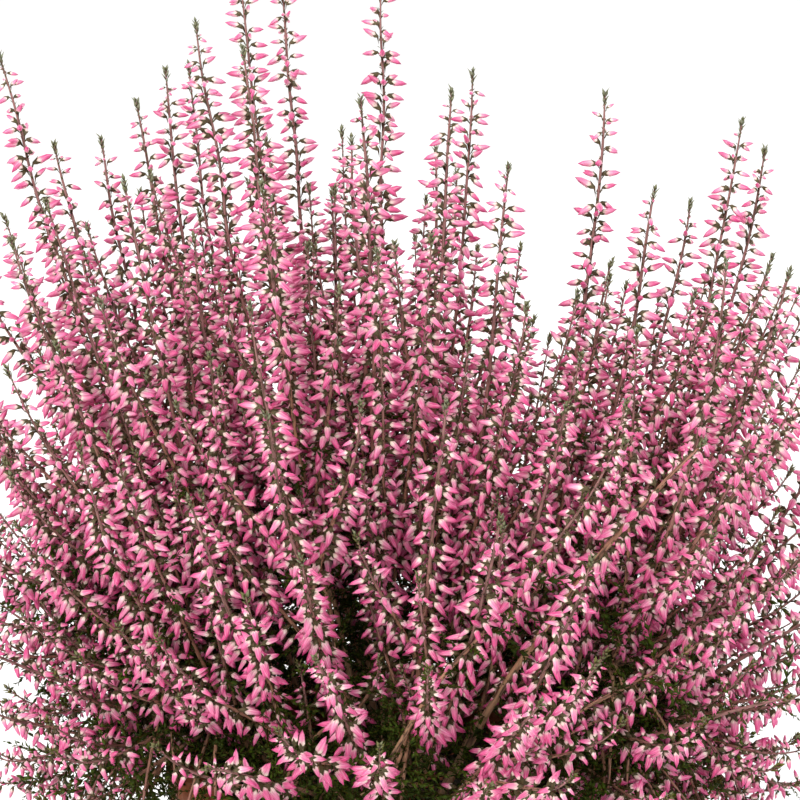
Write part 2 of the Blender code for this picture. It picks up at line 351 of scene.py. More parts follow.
# %% Growing the side shoots
SHOOTS_PER_STEM = {"left": 6, "centre": 5, "right": 6, "front": 3, "back": 4}
TRIES = 40
FORK_SHARES = (0.18, 0.5)
TIP_SHARES = (0.5, 0.86)
TIP_OFFSETS = (6.0 * MM, 26.0 * MM)
OUTWARD_PULL = 0.55
BOWS = (0.2, 0.5)  # how much more it leaves along its reach than along its parent
SHOOT_STRAY = 0.6 * STRAY
LEAST_ROOM = 5.5 * MM
LOWEST_TIP, WIDEST_TIP = 135.0 * MM, 122.0 * MM
# How high shoots may end, seen from the front: millimetres across, and up from the aim point
SHOOT_SKYLINE = (
    (-112, 58), (-100, 52), (-70, 68), (-52, 50), (-44, 70), (-30, 85), (-5, 78), (4, 45), (12, 75),
    (32, 40), (38, 24), (48, 32), (56, 40), (66, 32), (72, 45), (95, 48), (112, 34),
)


def side_shoots(parent):
    """Tries at a shoot from a stem, each with all of its room."""
    points = parent["points"]
    for _ in range(TRIES):
        fork = random.uniform(*FORK_SHARES)
        at = points[int(random.uniform(*TIP_SHARES) * (len(points) - 1))]
        turn = random.uniform(0, WHOLE_TURN)
        outward = at * (1, 1, 0) - (0, 0.005, 0)
        outward = outward / max(np.linalg.norm(outward), 1e-6)
        side = np.array((math.cos(turn), math.sin(turn), random.uniform(-0.2, 0.2))) + OUTWARD_PULL * outward
        end = at + unit(side) * random.uniform(*TIP_OFFSETS)
        across, up = as_seen(end)
        if up > np.interp(across, *zip(*SHOOT_SKYLINE)) or end[2] < LOWEST_TIP or abs(end[0]) > WIDEST_TIP:
            continue
        yield shoot_line(parent, fork, end, random.uniform(*BOWS)), 1.0


for turn in range(max(SHOOTS_PER_STEM.values())):
    for parent in mains:
        if turn < SHOOTS_PER_STEM.get(parent["crown"], 0):
            grow(side_shoots(parent), LEAST_ROOM, SHOOT_STRAY, 1, parent["crown"])
print(len(stems) - len(mains), "side shoots")

# %% [markdown]
# ## The skirt of low shoots
# All round the pot, low shoots arch out over the rim and rise again at their ends. They hide
# the rim and the soil. The lowest of them, the fringe, sag below the rim and are mostly leafy.
# Each end is wanted at a place round the pot, and the shoot leaves a stem that already leans
# towards that place.

# %% Growing the skirt
# For each round: the stems' rank, how many, how far from the axis and how high they end, how much
# less room counts straight in front, where the dark inside shows (below 0 it counts more), and how
# far they turn off the sides
SKIRT_ROUNDS = (
    (2, 138, (52.0 * MM, 108.0 * MM), (108.0 * MM, 235.0 * MM), 0.55, 1.0),
    (3, 55, (78.0 * MM, 108.0 * MM), (92.0 * MM, 122.0 * MM), -0.7, 1.0),
    (2, 20, (86.0 * MM, 112.0 * MM), (130.0 * MM, 225.0 * MM), 0.0, 0.6),
)
OVAL = (1.12, 0.93, 1.0)  # the plant is wider than it is deep
LOW_ONES = 1.4  # over 1, more of the ends are low
CLEAR_OF_RIM = (0.073, 0.128)  # nearer the axis than the first, no end is lower than the second
LEANING_ONES = 7  # a shoot leaves one of so many stems that lean its way
FARTHEST_FOOT = 0.7  # of the end's distance from the axis
SKIRT_FORKS = (0.07, 0.34)
SKIRT_BOWS = (-0.2, 0.3)
RIM_RADII, OVER_RIM = (0.056, 0.07), 0.118  # between these distances from the axis, no shoot is lower than this


def skirt_shoots(reaches, heights, bareness, turned_off):
    """Tries at a low shoot, each with the share of its room that counts."""
    for _ in range(TRIES):
        turn = random.uniform(0, WHOLE_TURN)
        reach = random.uniform(*reaches)
        way = np.array((math.cos(turn), math.sin(turn), 0.0))
        end = way * reach * OVAL
        end[2] = heights[0] + (heights[1] - heights[0]) * random.uniform() ** LOW_ONES
        if reach < CLEAR_OF_RIM[0]:
            end[2] = max(end[2], CLEAR_OF_RIM[1])
        leaning = [(m["points"][len(m["points"]) // 3] * (1, 1, 0)) @ way for m in mains]
        parent = mains[int(np.argsort(leaning)[-1 - int(random.integers(LEANING_ONES))])]
        fork = random.uniform(*SKIRT_FORKS)
        foot = parent["points"][int(fork * (len(parent["points"]) - 1))]
        if abs(way[1]) > turned_off or foot @ way > FARTHEST_FOOT * reach:
            continue
        line = shoot_line(parent, fork, end, random.uniform(*SKIRT_BOWS))
        out = np.hypot(line[:, 0], line[:, 1])
        crossing = line[(out > RIM_RADII[0]) & (out < RIM_RADII[1])]
        if not len(crossing) or crossing[:, 2].min() >= OVER_RIM:
            yield line, 1.0 - bareness * max(0.0, -way[1]) ** 3


for rank, count, *limits in SKIRT_ROUNDS:
    for _ in range(count):
        grow(skirt_shoots(*limits), 0.0, STRAY, rank)
print(len(stems), "stems in all")

# %% [markdown]
# ## What grows where along a stem
# Every organ's size changes along the stem: no buds on the old wood, full ones along the
# spike, small pale ones under the tip, and only scale leaves on the growing tip itself. These
# sizes are worked out once for every point of every line, and go with the line as attributes.

# %% Sizes along the lines
# By rank, for main stems, side shoots, the skirt and its fringe: how much of the stem flowers, how
# far from the tip the leafy twigs begin as a share of that, and its radius in mm along its length
SPIKE_SHARE = (0.7, 0.86, 0.6, 0.36)
LONGEST_SPIKE = 0.86
TWIGS_FROM = (0.95, 0.95, 0.6, 0.3)
RADII = (((0.0, 1.2), (0.3, 0.78), (0.6, 0.6), (0.93, 0.38), (1.0, 0.2)), ((0.0, 0.6), (0.5, 0.48), (1.0, 0.2)),
         ((0.0, 0.68), (0.5, 0.48), (1.0, 0.18)), ((0.0, 0.6), (0.5, 0.4), (1.0, 0.16)))
OLD_WOOD = (1.5, 0.5)  # how much thicker the long stem is, and how far its bark goes towards young wood
TIP_BARE = 3.3 * MM
FULL_BUD_BELOW = 24.0 * MM
SOIL_TOP = 0.103


def ramp(value, *stops):
    """Straight lines between stops given as (value, result)."""
    return np.interp(value, *zip(*stops))


def sizes_along(stem):
    """The attributes of a stem's points, as a dict of arrays. All lengths in the stops are metres."""
    points, rank = stem["points"], stem["rank"]
    run = run_of(points)
    length = run[-1]
    below, share = length - run, run / length
    flowers = 0.0 if stem["crown"] == "leafy_shoot" else SPIKE_SHARE[rank] * random.uniform(0.9, 1.08)
    low = ramp(points[-1, 2], (0.1, 1.0), (0.2, 0.0))
    leafier = low * ramp(points[-1, 0], (-0.08, 0.45), (-0.04, 0.75), (0.02, 0.65), (0.06, -0.9))
    spike = length * min(LONGEST_SPIKE, flowers * (1.0 - leafier))
    height = ramp(points[:, 2] - SOIL_TOP, (0.03, 0.0), (0.2, 1.0))
    bud = ramp(below, (TIP_BARE * 0.8, 0.0), (TIP_BARE, 0.5), (0.5 * FULL_BUD_BELOW, 0.8), (FULL_BUD_BELOW, 1.0))
    bud *= ramp(below, (spike * 0.94, 1.0), (spike, 0.82)) * (below < spike)
    thicker, younger = OLD_WOOD if stem.get("node") == LONG_STEM else (1.0, 1.0)
    return {
        "thickness": ramp(share, *RADII[rank]) * MM * random.uniform(0.9, 1.12) * thicker,
        "bud_size": bud,
        "hang": (1.0 - height) * ramp(below, (0.008, 0.15), (0.03, 0.8), (0.06, 1.0)),
        "leaf_size": ramp(below, (0.0, 0.6), (0.01, 0.8), (0.05, 0.95)) * ramp(share, (0.0, 0.0), (0.06, 0.7)),
        "tip_size": ramp(below, (0.0, 0.75), (0.5 * TIP_BARE, 1.05), (TIP_BARE, 0.9)) * (below < 1.2 * TIP_BARE),
        "twig_size": ramp(share, (0.04, 0.6), (0.2, 1.0)) * ((below > TWIGS_FROM[rank] * spike) & (share > 0.03)),
        # Ripeness gives older, deeper tones away from the tip. Near the tip it also rises low on the plant, so tips
        # and their buds are paler high up and darker low down: painted light above and painted shade below.
        "ripeness": (ramp(below, (0.0, 0.1), (0.02, 0.45), (0.07, 0.62))
                     + ramp(below, (0.004, 0.65), (0.012, 0.18)) * (1 - height)),
        "youth": share * younger,
    }


def lines_object(name, lines, rows):
    """An object that holds lines as edges, with one attribute for each row of values."""
    edges, first = [], 0
    for line in lines:
        edges += [(first + k, first + k + 1) for k in range(len(line) - 1)]
        first += len(line)
    mesh = bpy.data.meshes.new(name)
    mesh.from_pydata(np.vstack(lines).tolist(), edges, [])
    for key, row in rows.items():
        mesh.attributes.new(key, "FLOAT", "POINT").data.foreach_set("value", row.astype(np.float32))
    return placed(name, mesh)


CROWNS = ("left", "centre", "right", "front", "back", "left_skirt_shoots", "right_skirt_shoots", "leafy_shoot")
crown_lines = {}
for crown in CROWNS:
    chosen = [s for s in stems if s["crown"] == crown]
    sizes = [sizes_along(s) for s in chosen]
    rows = {key: np.concatenate([size[key] for size in sizes]) for key in sizes[0]}
    crown_lines[crown] = lines_object("lines_" + crown, [s["points"] for s in chosen], rows)
print({crown: len(lines.data.vertices) for crown, lines in crown_lines.items()}, "points on the lines")

# %% [markdown]
# ## One tree of nodes for everything that grows along a stem
# Buds, the little cups that hold them, scale leaves and leafy twigs all stand round a stem in
# whorls or crosswise pairs. So one Geometry Nodes tree places them all: it takes
# points along the lines, gives each a direction out of the stem, lets it lean and hang, and
# puts a copy of the organ there. The organ's own map, along and round it, is packed into one
# strip of the finished map per shade, so that a material can read the shade from the map.

# %% How every tree begins and ends
MAP = "OFBake"  # the name of a finished piece's map
SHADES = 24
STRIP_MARGIN, STRIP_ROOM = 0.06, 0.88  # a map keeps clear of its strip's edges


def new_tree(name, **inputs):
    """A tree whose inputs' names are listed by kind, a short way to add to it, and those inputs."""
    tree = bpy.data.node_groups.new(name, "GeometryNodeTree")
    for kind, titles in {"Geometry": "Geometry", **inputs}.items():
        for title in titles.split(", "):
            tree.interface.new_socket(title, in_out="INPUT", socket_type="NodeSocket" + kind)
    tree.interface.new_socket("Geometry", in_out="OUTPUT", socket_type="NodeSocketGeometry")
    return tree, partial(add, tree), tree.nodes.new("NodeGroupInput").outputs


def mapped(node, given, flow, along, around, strips):
    """The smooth geometry with its map along and round each organ, packed into its shade's strip."""
    strip = node("Math FLOOR", strips)
    strip = node("Math ADD", strip, around)
    strip = node("Math DIVIDE", strip, given["Shades"])
    spot = node("CombineXYZ", along, strip)
    flow = node("StoreNamedAttribute", Geometry=flow, Name=given["Map"], Value=spot, data_type="FLOAT2",
                domain="CORNER")
    return node("SetShadeSmooth", flow)


def ended(node, given, flow):
    """Ends a tree with real geometry and its finish."""
    solid = node("RealizeInstances", flow)
    node("GroupOutput", node("SetMaterial", Geometry=solid, Material=given["Finish"]))


# %% The tree that places organs
LEAST_SIZE = 0.05  # a smaller organ is left out
FALL_SPREAD = (-1.25, -0.75)
KEPT = {"pose": "QUATERNION", "scale": "FLOAT", "shade": "FLOAT"}


def organ_tree():
    """Places an organ along lines. The attribute that Sizes names gives its size at each point."""
    tree, node, given = new_tree(
        "organs_along_stems", Object="Organ", String="Sizes, Map", Int="Seed", Material="Finish",
        Float="Spacing, Whorl, Whorl turn, Gather, Lean, Lean spread, Hang, Turn spread, Size, Size spread, "
              "Stand off, Gaps, Shade shift, Shade spread, Shades")

    def chance(low, high, salt):
        """A random number for each point."""
        return node("RandomValue", Min=low, Max=high, Seed=node("IntegerMath ADD", given["Seed"], salt))

    line = node("MeshToCurve", given["Geometry"])
    points = node("CurveToPoints", Curve=line, Length=given["Spacing"], mode="LENGTH").outputs
    size = node("InputNamedAttribute", given["Sizes"])
    none = node("Compare LESS_THAN", size, LEAST_SIZE)
    skipped = node("Compare LESS_THAN", chance(0.0, 1.0, 1), given["Gaps"])
    left_out = node("BooleanMath OR", none, skipped)

    # Members of a whorl stand evenly round the stem, and are gathered to its middle height.
    count = node("InputIndex")
    member = node("Math MODULO", count, given["Whorl"])
    whorl = node("Math DIVIDE", node("Math SUBTRACT", count, member), given["Whorl"])
    share = node("Math DIVIDE", WHOLE_TURN, given["Whorl"])
    apart = node("Math MULTIPLY", member, share)
    spread = node("Math MULTIPLY_ADD", chance(-1.0, 1.0, 2), given["Turn spread"], apart)
    turn = node("Math MULTIPLY_ADD", whorl, given["Whorl turn"], spread)
    middle = node("Math MULTIPLY_ADD", given["Whorl"], 0.5, -0.5)
    above = node("Math MULTIPLY", node("Math SUBTRACT", middle, member), given["Spacing"])
    above = node("Math MULTIPLY", above, given["Gather"])
    gather = node("VectorMath SCALE", points["Tangent"], Scale=above)
    out = node("VectorRotate", Vector=points["Normal"], Axis=points["Tangent"], Angle=turn,
               rotation_type="AXIS_ANGLE")

    # An organ points out of the stem, leans up along it, and falls where its stem hangs.
    lean = node("Math MULTIPLY_ADD", chance(-1.0, 1.0, 3), given["Lean spread"], given["Lean"])
    outward = node("VectorMath SCALE", out, Scale=node("Math COSINE", lean))
    upward = node("VectorMath SCALE", points["Tangent"], Scale=node("Math SINE", lean))
    fall = node("Math MULTIPLY", node("InputNamedAttribute", "hang"), given["Hang"])
    fall = node("Math MULTIPLY", fall, chance(*FALL_SPREAD, 4))
    way = node("VectorMath ADD", outward, upward)
    way = node("VectorMath ADD", way, node("CombineXYZ", Z=fall))
    pose = node("AxesToRotation", way, points["Tangent"], primary_axis="Z", secondary_axis="X")

    off = node("Math MULTIPLY", node("InputNamedAttribute", "thickness"), given["Stand off"])
    shift = node("VectorMath ADD", node("VectorMath SCALE", out, Scale=off), gather)
    vary = node("Math MULTIPLY_ADD", chance(-1.0, 1.0, 5), given["Size spread"], 1.0)
    scale = node("Math MULTIPLY", node("Math MULTIPLY", size, given["Size"]), vary)
    # The organ's tone follows its ripeness, which near the tips also holds painted light high up and painted shade low
    # down.
    ripe = node("InputNamedAttribute", "ripeness")
    shade = node("Math MULTIPLY_ADD", chance(-1.0, 1.0, 6), given["Shade spread"], ripe)
    shade = node("Math ADD", shade, given["Shade shift"], use_clamp=True)

    # Each point's numbers are kept as attributes, because deleting points renumbers them.
    flow = points["Points"]
    for (name, kind), value in zip(KEPT.items(), (pose, scale, shade)):
        flow = node("StoreNamedAttribute", Geometry=flow, Name=name, Value=value, data_type=kind)
    flow = node("SetPosition", Geometry=flow, Offset=shift)
    flow = node("DeleteGeometry", flow, left_out)
    pose, scale, shade = (node("InputNamedAttribute", name, data_type=kind) for name, kind in KEPT.items())
    organ = node("ObjectInfo", given["Organ"]).outputs["Geometry"]
    grown = node("InstanceOnPoints", Points=flow, Instance=organ, Rotation=pose, Scale=scale)
    solid = node("RealizeInstances", grown)

    skin = node("SeparateXYZ", node("InputNamedAttribute", "skin", data_type="FLOAT_VECTOR")).outputs
    strips = node("Math MULTIPLY", shade, node("Math SUBTRACT", given["Shades"], 0.01))
    ended(node, given, mapped(node, given, solid, skin["X"], skin["Y"], strips))
    return tree


organs = organ_tree()
print(len(organs.nodes), "nodes place the organs")


def plain_mesh(made):
    """A new mesh of what an object's modifiers make."""
    graph = bpy.context.evaluated_depsgraph_get()
    return bpy.data.meshes.new_from_object(made.evaluated_get(graph), depsgraph=graph)


def grown(name, base, tree, **values):
    """Runs a tree on a base object and returns the result as a plain mesh with its map alone."""
    made = placed(name, base.data)
    modifier = made.modifiers.new(tree.name, "NODES")
    modifier.node_group = tree
    sockets = {s.name: s.identifier for s in tree.interface.items_tree if s.in_out == "INPUT"}
    for key, value in values.items():
        modifier[sockets[key.replace("_", " ")]] = value
    mesh = plain_mesh(made)
    bpy.data.objects.remove(made)
    keep = {values.get("Map", MAP), "position", "material_index", "sharp_face"}
    for attribute in [a.name for a in mesh.attributes]:
        if attribute not in keep and not attribute.startswith("."):
            mesh.attributes.remove(mesh.attributes[attribute])
    mesh.name = name
    return mesh


def triangles(mesh):
    """How many triangles a mesh has."""
    return sum(len(f.vertices) - 2 for f in mesh.polygons)


# %% [markdown]
# ## Flower buds
# A heather bud is nearly 5 mm long: four keeled sepals closed to a point over the flower,
# widest near the base. Some thousands of them are needed, so the bud has few faces: the four
# keels and the furrows between them are the eight corners of its widest ring.

# %% Skins over rings
def ring_at(height, radii):
    """A ring of points round the Z axis, one for each radius."""
    turns = [WHOLE_TURN * k / len(radii) for k in range(len(radii))]
    return [Vector((r * math.cos(t), r * math.sin(t), height)) for r, t in zip(radii, turns)]


def skinned(shape, skin, rings):
    """Joins rings, each (share along, points), into a closed skin with its map along and round it."""
    loops = [[shape.verts.new(p) for p in points] for _, points in rings]
    sizes = [len(points) for points in loops]

    def face(*corners):
        made = shape.faces.new([loops[ring][k % sizes[ring]] for ring, k in corners])
        around = [k / sizes[ring] for ring, k in corners if sizes[ring] > 1]
        middle = sum(around) / max(1, len(around))
        for loop, (ring, k) in zip(made.loops, corners):
            spot = k / sizes[ring] if sizes[ring] > 1 else middle
            loop[skin].uv = (rings[ring][0], STRIP_MARGIN + STRIP_ROOM * spot)

    for low, (few, many) in enumerate(zip(sizes, sizes[1:])):
        i = j = 0
        while i < few * (few > 1) or j < many * (many > 1):
            if j == many or many == 1 or (few > 1 and i < few and (i + 1) / few <= (j + 1) / many):
                face((low, i), (low, i + 1), (low + 1, j))
                i += 1
            else:
                face((low, i), (low + 1, j + 1), (low + 1, j))
                j += 1
    for ring, order in ((0, -1), (len(loops) - 1, 1)):
        if sizes[ring] > 2:
            face(*[(ring, k) for k in range(sizes[ring])][::order])


def mesh_of(name, shape):
    """The mesh of a finished shape, faces outwards."""
    bmesh.ops.recalc_face_normals(shape, faces=shape.faces)
    mesh = bpy.data.meshes.new(name)
    shape.to_mesh(mesh)
    shape.free()
    print(name, "has", triangles(mesh), "triangles")
    return mesh


def organ(name, rings):
    """An object from rings that are joined into a closed skin."""
    shape = bmesh.new()
    skinned(shape, shape.loops.layers.uv.new("skin"), rings)
    return placed(name, mesh_of(name, shape))


# %% The bud's shape
BUD_LENGTH = 4.8 * MM
BUD_OUT = 0.9 * MM  # from the stem to the bud's base
BUD_BEND = 0.3 * MM
BUD_NOD = math.radians(8.0)
BUD_RINGS = ((0.29, (0.87 * MM, 0.72 * MM)), (0.73, (0.6 * MM,)))  # share, and radius at the keels and in the furrows


def nodding(rings, bend=0.0):
    """The rings with their axis bent along -X, turned about the Y axis and moved to a bud's base."""
    turn = Matrix.Rotation(-BUD_NOD, 3, "Y")
    top = max(p.z for _, ring in rings for p in ring)
    return [(share, [turn @ (p - Vector((bend * (p.z / top) ** 2, 0, 0))) + Vector((0, 0, BUD_OUT)) for p in ring])
            for share, ring in rings]


bud_rings = [(share, ring_at(share * BUD_LENGTH, radii * 4)) for share, radii in BUD_RINGS]
bud = organ("one_bud", nodding([(0.0, ring_at(0.0, [0.0])), *bud_rings, (1.0, ring_at(BUD_LENGTH, [0.0]))], BUD_BEND))

# %% [markdown]
# ## Bud cups, scale leaves and leafy twigs
# A bud stands on a short stalk that rises beside the stem, and a few tiny green bracts grip
# its pale base. Stalk and bracts are made as one little toothed cup. The leaves are scales
# hardly 2 mm long that lie along the stem. Low down, short twigs carry dense rows of them.

# %% The cup and the leaf
STALK_FOOT = (-1.4 * MM, 0.0, -0.8 * MM)
CUP_BASE = (-0.1 * MM, 0.42 * MM)  # its height over the bud's base, and its radius
CUP_TOOTH = (1.6 * MM, 0.98 * MM)  # how far a tooth reaches along the bud, and its distance from the axis
CUP_NOTCH = (0.65 * MM, 0.64 * MM)
CUP_FLOOR = 0.5 * MM
LEAF_LENGTH = 2.1 * MM
LEAF_HALF_WIDTH = 0.46 * MM
LEAF_THICKNESS = 0.36 * MM
LEAF_CURL = 0.2 * MM
LEAF_WIDEST = 0.42  # share of its length

rim = ring_at(0.0, [CUP_TOOTH[1], CUP_NOTCH[1]] * 3)
rim = [Vector((p.x, p.y, (CUP_TOOTH, CUP_NOTCH)[k % 2][0])) for k, p in enumerate(rim)]
cup_rings = nodding([(0.12, ring_at(CUP_BASE[0], [CUP_BASE[1]] * 3)), (0.8, rim), (0.3, ring_at(CUP_FLOOR, [0.0]))])
cup = organ("one_cup", [(0.0, [Vector(STALK_FOOT)])] + cup_rings)

# A scale leaf is folded along its midrib: foot and tip on the fold, and an edge to each side.
leaf_corners = {"foot": ((0, 0, 0), 0.0, 0.5), "tip": ((LEAF_CURL, 0, LEAF_LENGTH), 1.0, 0.5),
                "left": ((LEAF_THICKNESS, LEAF_HALF_WIDTH, LEAF_WIDEST * LEAF_LENGTH), LEAF_WIDEST, 0.1),
                "right": ((LEAF_THICKNESS, -LEAF_HALF_WIDTH, LEAF_WIDEST * LEAF_LENGTH), LEAF_WIDEST, 0.9)}
leaf_shape = bmesh.new()
leaf_skin = leaf_shape.loops.layers.uv.new("skin")
leaf_points = {name: leaf_shape.verts.new(place) for name, (place, _, _) in leaf_corners.items()}
for names in (("foot", "tip", "left"), ("foot", "right", "tip"), ("foot", "left", "right"), ("tip", "right", "left")):
    for loop, name in zip(leaf_shape.faces.new([leaf_points[name] for name in names]).loops, names):
        loop[leaf_skin].uv = leaf_corners[name][1:]
leaf = placed("one_leaf", mesh_of("one_leaf", leaf_shape))

# %% [markdown]
# ## The finish of buds, leaves and wood
# Every small organ reads its colour from its own map: along it, round it, and the shade that
# its strip stands for. A sepal is a dry, papery petal: cream where the bracts grip it, then
# pink, and deepest at the tip, with a ragged edge between. Its furrows are a deeper pink, and
# fine pale veins run along it.

# %% Reading the map
def organ_finish(name):
    """A finish, and what the map says: along, around, shade, and the three as one place."""
    made, node = new_finish(name)
    spot = node("SeparateXYZ", node("UVMap", uv_map=MAP)).outputs
    strips = node("Math MULTIPLY", spot["Y"], float(SHADES))
    shade = node("Math DIVIDE", node("Math FLOOR", strips), float(SHADES))
    around = node("Math FRACT", strips)
    place = node("CombineXYZ", spot["X"], around, shade)
    return made, node, spot["X"], around, shade, place


def streaked(node, place, stretch, detail):
    """Noise with so many changes along an organ, round it and from shade to shade."""
    return node("TexNoise", node("Mapping", place, Scale=stretch), Scale=1.0, Detail=detail)


def over(node, below, pattern, none, full, most, colour, **blend):
    """A colour laid over the one below: not at all where the pattern is at none, and the most at full."""
    share = node("MapRange", pattern, From_Min=none, From_Max=full, To_Max=most)
    return node("Mix", share, below, linear(colour), data_type="RGBA", **blend)


# %% Sepals
SEPAL_EDGE_WAVE = 0.16  # how far the edge between cream and pink strays, as a share of the bud
VEINS_ROUND_A_BUD = 22.0
SEPALS_PALE = ((0.0, "#d6d498"), (0.14, "#f8eed2"), (0.34, "#fdeae0"), (0.47, "#f9b2cb"), (0.7, "#f482b2"),
               (1.0, "#e0528f"))
SEPALS_DEEP = ((0.0, "#ccc688"), (0.12, "#f2e2c4"), (0.28, "#f8d6d0"), (0.39, "#ee70a2"), (0.62, "#e04488"),
               (1.0, "#bc2968"))


def sepals():
    """Papery heather sepals: satin, cream at the base, pink to magenta towards the tip."""
    made, node, along, around, shade, place = organ_finish("papery_heather_sepals")
    edge = node("Math SUBTRACT", streaked(node, place, (1.2, 5.0, 90.0), 2.0), 0.5)
    edge = node("Math MULTIPLY_ADD", edge, 2 * SEPAL_EDGE_WAVE, along)
    pale = node("ValToRGB", edge, stops=SEPALS_PALE)
    deep = node("ValToRGB", edge, stops=SEPALS_DEEP)
    body = node("Mix", shade, pale, deep, data_type="RGBA")
    veins = streaked(node, place, (2.0, VEINS_ROUND_A_BUD, 70.0), 1.0)
    veined = over(node, body, veins, 0.5, 0.72, 0.4, "#fee0ea")
    fold = node("Math COSINE", node("Math MULTIPLY", around, 4 * WHOLE_TURN))
    folded = over(node, veined, fold, -0.6, -1.0, 0.45, "#cc3a83")
    return finished(made, Base_Color=folded, Roughness=0.42, Specular_IOR_Level=0.45)


# %% Scale leaves, bracts and wood
WOOD_SHADES = ((0.2, "#b69a7c"), (0.45, "#be9270"), (0.75, "#a97864"), (1.0, "#966a66"))


def greens(name, roughness, young, old):
    """Waxy heather green from two ramps along the organ, for young and for old growth. On the low twigs the old ramp
    is also darkened as painted shade.
    """
    made, node, along, _, shade, place = organ_finish(name)
    fresh = node("ValToRGB", along, stops=young)
    ripe = node("ValToRGB", along, stops=old)
    body = node("Mix", shade, fresh, ripe, data_type="RGBA")
    patch = streaked(node, place, (5.0, 4.0, 120.0), 2.0)
    mixed = over(node, body, patch, 0.35, 0.7, 0.6, "#9aa67c", blend_type="MULTIPLY")
    return finished(made, Base_Color=mixed, Roughness=roughness, Specular_IOR_Level=0.16)


def bark():
    """Fibrous heather bark: red-brown on young wood, weathered to grey-tan, dark in its cracks."""
    made, node, along, _, _, place = organ_finish("fibrous_heather_bark")
    strands = streaked(node, place, (26.0, 5.0, 60.0), 3.0)
    youth = node("Math MULTIPLY_ADD", strands, 0.5, along)
    wood = node("ValToRGB", youth, stops=WOOD_SHADES)
    cracked = over(node, wood, strands, 0.5, 0.36, 1.0, "#5a4034")
    return finished(made, Base_Color=cracked, Roughness=0.72)


sepal_finish = sepals()
# The low twigs' old ramp is near black: painted shade for the dark inside of the plant, where they grow.
twig_finish_with_painted_shade = greens("soft_twig_leaf_with_painted_shade", 0.5, ((0.0, "#7a6c32"), (0.3, "#6a8020"), (1.0, "#5a7a1a")),
                     ((0.0, "#46390f"), (0.3, "#334208"), (1.0, "#223006")))
leaf_finish = greens("waxy_scale_leaf", 0.5, ((0.0, "#84704e"), (0.3, "#747644"), (1.0, "#646c38")),
                     ((0.0, "#58462a"), (0.3, "#4a4e1e"), (1.0, "#3a4012")))
# The tips take the pale grey young ramp high on the plant and the dark old one low down: grey downy growth, with
# painted light above and painted shade below.
tip_finish = greens("downy_tip_leaf", 0.62, ((0.0, "#908c72"), (0.3, "#93957c"), (1.0, "#a0a28e")),
                    ((0.0, "#6a5422"), (0.3, "#6a641e"), (1.0, "#7c7632")))
cup_finish = greens("green_bract", 0.55, ((0.0, "#86705e"), (0.15, "#766850"), (0.8, "#6a6248")),
                    ((0.0, "#6a4a3c"), (0.12, "#52442c"), (0.8, "#443c22")))
bark_finish = bark()
print(len(bpy.data.materials), "materials so far")

# %% [markdown]
# ## Woody stems
# A stem is a thin round rod that tapers from foot to tip, so a second tree sweeps a small
# circle along each line, at the line's own thickness, and stores the map along and round it.

# %% The tree that makes stems
STEM_SIDES = 5


def stem_tree():
    """Sweeps a circle along the lines. Its map is the wood's youth, and around within a shade's strip."""
    tree, node, given = new_tree("wood_along_lines", Int="Sides, Seed", Float="Shades", String="Map",
                                 Material="Finish")
    line = node("MeshToCurve", given["Geometry"])
    pick = node("RandomValue", Min=0.0, Max=0.999, ID=node("InputIndex"), Seed=given["Seed"])
    line = node("StoreNamedAttribute", Geometry=line, Name="shade", Value=pick, domain="CURVE")
    circle = node("CurvePrimitiveCircle", Resolution=given["Sides"], Radius=1.0)
    around = node("Math DIVIDE", node("InputIndex"), given["Sides"])
    circle = node("StoreNamedAttribute", Geometry=circle, Name="around", Value=around)
    rod = node("CurveToMesh", Curve=line, Profile_Curve=circle, Scale=node("InputNamedAttribute", "thickness"),
               Fill_Caps=True)
    # Where the last side meets the first, the corners that read 0 have to read 1.
    spot = node("InputNamedAttribute", "around")
    of_face = node("FieldOnDomain", spot, domain="FACE")
    before = node("Math SUBTRACT", of_face, spot)
    wraps = node("Math GREATER_THAN", before, 0.25)
    turn = node("Math ADD", spot, wraps)
    turn = node("Math MULTIPLY_ADD", turn, STRIP_ROOM, STRIP_MARGIN)
    strips = node("Math MULTIPLY", node("InputNamedAttribute", "shade"), given["Shades"])
    ended(node, given, mapped(node, given, rod, node("InputNamedAttribute", "youth"), turn, strips))
    return tree


wood = stem_tree()
print(len(wood.nodes), "nodes make the wood")

# %% [markdown]
# ## A leafy twig
# The short green twigs low on the stems are rows of scale leaves on a thread of wood. One
# such twig is grown by the same tree as everything else, on a line of its own, and then it
# serves as an organ in its turn.

# %% One leafy twig
TWIG_LENGTH = 13.0 * MM
TWIG_STEPS = 3
TWIG_DROOP = 2.6 * MM
TWIG_SWAY = 0.4 * MM
TWIG_RADIUS = 0.16 * MM
# How scale leaves stand on a stem, and how they stand on a twig
LEAF_PLACING = dict(Sizes="leaf_size", Spacing=1.25 * MM, Whorl=2.0, Whorl_turn=1.7, Gather=0.5, Lean=0.8,
                    Lean_spread=0.3, Hang=0.1, Turn_spread=0.3, Size=1.0, Size_spread=0.2, Stand_off=0.8,
                    Gaps=0.1, Shade_shift=0.1, Shade_spread=0.3, Shades=float(SHADES), Map=MAP)
TWIG_LEAVES = dict(LEAF_PLACING, Spacing=0.95 * MM, Gather=0.8, Lean_spread=0.25, Hang=0.0, Size=1.3, Size_spread=0.15,
                   Stand_off=0.6, Gaps=0.0, Shade_shift=0.0, Shade_spread=0.0, Shades=1.0, Map="skin")

